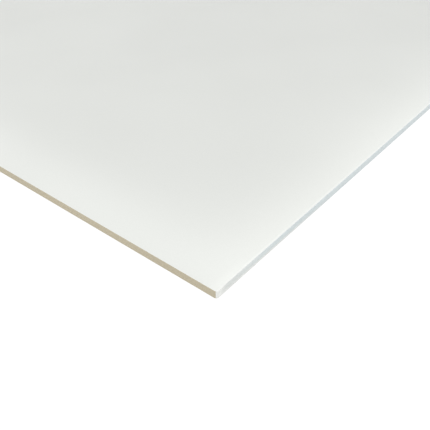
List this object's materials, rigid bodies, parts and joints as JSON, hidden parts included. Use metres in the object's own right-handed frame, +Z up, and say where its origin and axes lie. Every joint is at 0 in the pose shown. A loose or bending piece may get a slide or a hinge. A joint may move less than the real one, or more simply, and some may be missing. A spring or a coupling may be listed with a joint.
{
  "type": "solid surface sheet",
  "caption": "Flat rectangular sheet of off-white solid surfacing with square-sawn, eased edges: stock for worktops, vanities and wall panels.",
  "frame": {"origin": "centre of the sheet's back face, which it lies on", "axes": "+X along the length, +Y across the width, +Z up through the thickness, out of the show face"},
  "size_m": [2.49, 0.76, 0.006],
  "materials": {
    "solid_surface": "satin"
  },
  "bodies": {
    "root": {"solid_surface_sheet": "solid_surface"}
  },
  "joints": []
}
